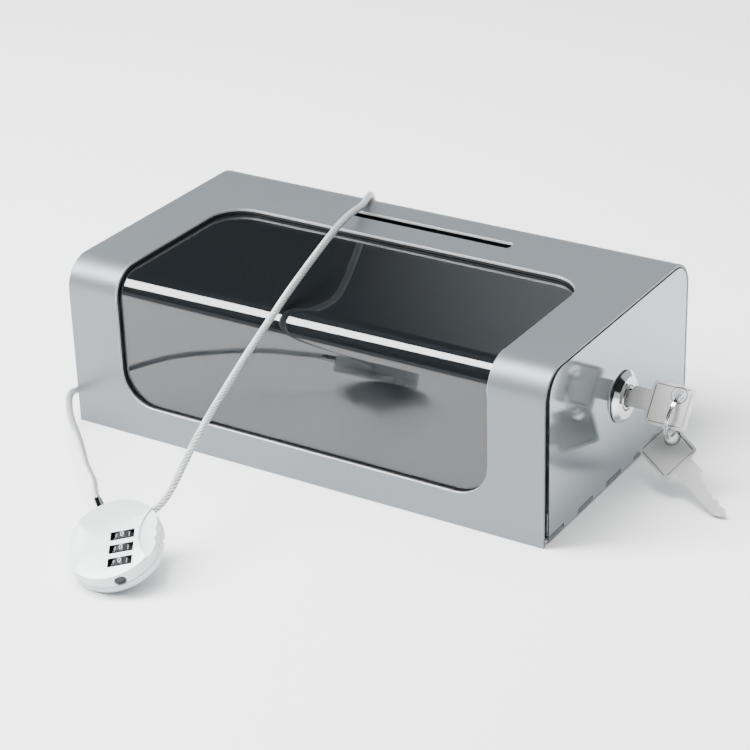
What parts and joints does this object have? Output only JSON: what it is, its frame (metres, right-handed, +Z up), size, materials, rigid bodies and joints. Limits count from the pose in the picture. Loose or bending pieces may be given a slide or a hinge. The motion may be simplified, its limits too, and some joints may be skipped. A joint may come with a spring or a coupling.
{
  "type": "donation box",
  "caption": "Folded sheet-steel donation box with a bent smoked window, a coin slot, a hinged end door with a cam lock and keys, and a wire tether closed by a dial padlock.",
  "frame": {"origin": "middle of the box's underside, on the surface that it stands on", "axes": "+X towards the hinged door, +Z up, -Y towards the windowed front"},
  "size_m": [0.3073, 0.2708, 0.0948],
  "materials": {
    "powder_coat": "fine silver powder coat",
    "door_finish": "gloss silver",
    "smoked_acrylic": "dark smoked gloss",
    "foam": "matt black foam",
    "zinc_steel": "bright zinc",
    "lock_chrome": "polished chrome",
    "key_nickel": "nickel plated, lightly worn",
    "wire_rope": "stranded wire under a clear coat",
    "padlock_silver": "light silver satin",
    "dial_black": "dark wheels with light numbers"
  },
  "bodies": {
    "root": {"body_wrap": "powder_coat", "base_tray": "powder_coat", "left_end_panel": "powder_coat", "window_gasket": "foam", "window_pane": "smoked_acrylic", "strike_bracket": "zinc_steel", "hinge_pin": "zinc_steel", "tether_eye": "zinc_steel", "eye_rivet_1": "zinc_steel", "eye_rivet_2": "zinc_steel", "tether_cable": "wire_rope", "cable_ferrule": "lock_chrome", "cable_pin": "zinc_steel", "padlock_front": "padlock_silver", "padlock_back": "padlock_silver", "dial_axle": "zinc_steel", "padlock_screw_1": "zinc_steel", "padlock_screw_2": "zinc_steel"},
    "door": {"door_panel": "door_finish", "lock_housing": "lock_chrome", "lock_nut": "zinc_steel"},
    "lock_core": {"lock_plug": "lock_chrome", "lock_cam": "zinc_steel", "cam_nut": "zinc_steel"},
    "key": {"key": "key_nickel"},
    "key_ring": {"key_ring": "lock_chrome"},
    "spare_key": {"spare_key": "key_nickel"},
    "dial_1": {"dial_1": "dial_black"},
    "dial_2": {"dial_2": "dial_black"},
    "dial_3": {"dial_3": "dial_black"},
    "release_button": {"release_button": "dial_black"}
  },
  "joints": [
    {"name": "door_hinge", "type": "hinge", "parent": "root", "child": "door", "pos_m": [0.11835, 0, 0.00165], "axis": [0, 1, 0], "range_deg": [0, 90]},
    {"name": "lock_turn", "type": "hinge", "parent": "door", "child": "lock_core", "pos_m": [0.11835, 0.0036, 0.0384], "axis": [1, 0, 0], "range_deg": [-53.1, 36.9]},
    {"name": "key_pull", "type": "slide", "parent": "lock_core", "child": "key", "axis": [1, 0, 0], "range_m": [0, 0.03]},
    {"name": "ring_swing", "type": "hinge", "parent": "key", "child": "key_ring", "pos_m": [0.1447, 0.0069, 0.0428], "axis": [0, 1, 0], "range_deg": [-20, 10]},
    {"name": "spare_key_swing", "type": "hinge", "parent": "key_ring", "child": "spare_key", "pos_m": [0.14231, 0.0069, 0.02335], "axis": [0, 1, 0], "range_deg": [-50, 0]},
    {"name": "dial_1_turn", "type": "hinge", "parent": "root", "child": "dial_1", "pos_m": [-0.01898, -0.16593, 0.01486], "axis": [0.4753, -0.8085, -0.347], "continuous": true},
    {"name": "dial_2_turn", "type": "hinge", "parent": "root", "child": "dial_2", "pos_m": [-0.01575, -0.17143, 0.0125], "axis": [0.4753, -0.8085, -0.347], "continuous": true},
    {"name": "dial_3_turn", "type": "hinge", "parent": "root", "child": "dial_3", "pos_m": [-0.01252, -0.17693, 0.01014], "axis": [0.4753, -0.8085, -0.347], "continuous": true},
    {"name": "button_press", "type": "slide", "parent": "root", "child": "release_button", "axis": [-0.6476, 0.7047, 0.2898], "range_m": [0, 0.0015], "stiffness_N_per_m": 500, "springref_m": -0.001}
  ]
}
